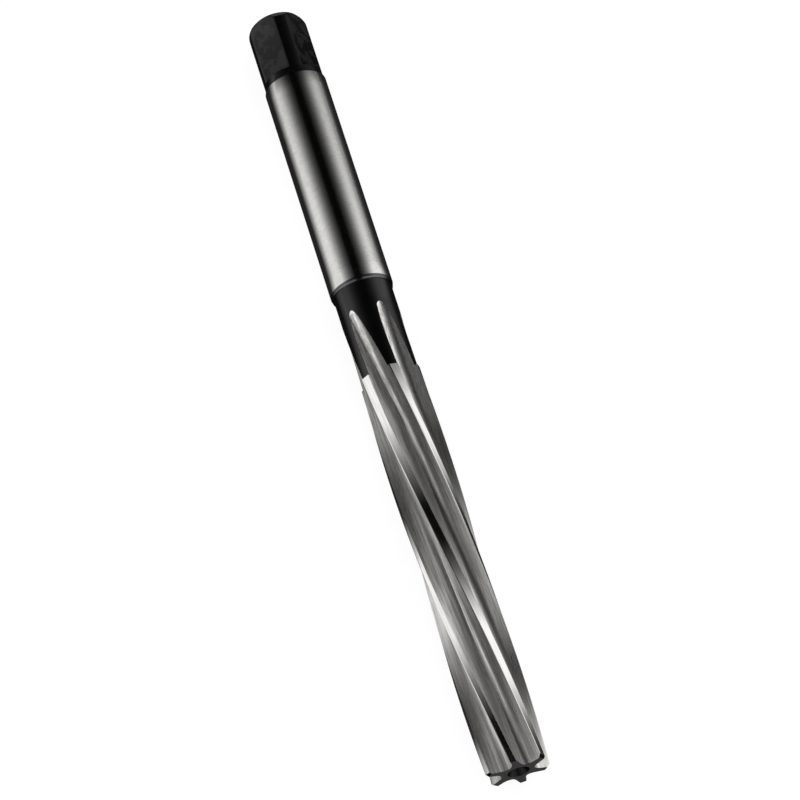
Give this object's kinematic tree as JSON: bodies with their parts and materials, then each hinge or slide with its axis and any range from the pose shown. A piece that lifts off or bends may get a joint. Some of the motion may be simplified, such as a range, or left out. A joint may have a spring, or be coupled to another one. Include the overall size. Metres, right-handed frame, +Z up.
{
  "type": "hand reamer",
  "caption": "Straight-shank hand reamer with left-hand spiral flutes, a dark necked shank and a driving square.",
  "frame": {"origin": "on the surface it lies on, below the middle of its length", "axes": "+Y along the tool's axis from the cutting end to the driving square, +Z up; the tool lies down, with a corner of the square on top"},
  "size_m": [0.01, 0.133, 0.01],
  "materials": {
    "tool_steel": "ground bright on the shank, flutes and teeth; black oxide on the neck and driving square"
  },
  "bodies": {
    "root": {"reamer": "tool_steel"}
  },
  "joints": []
}
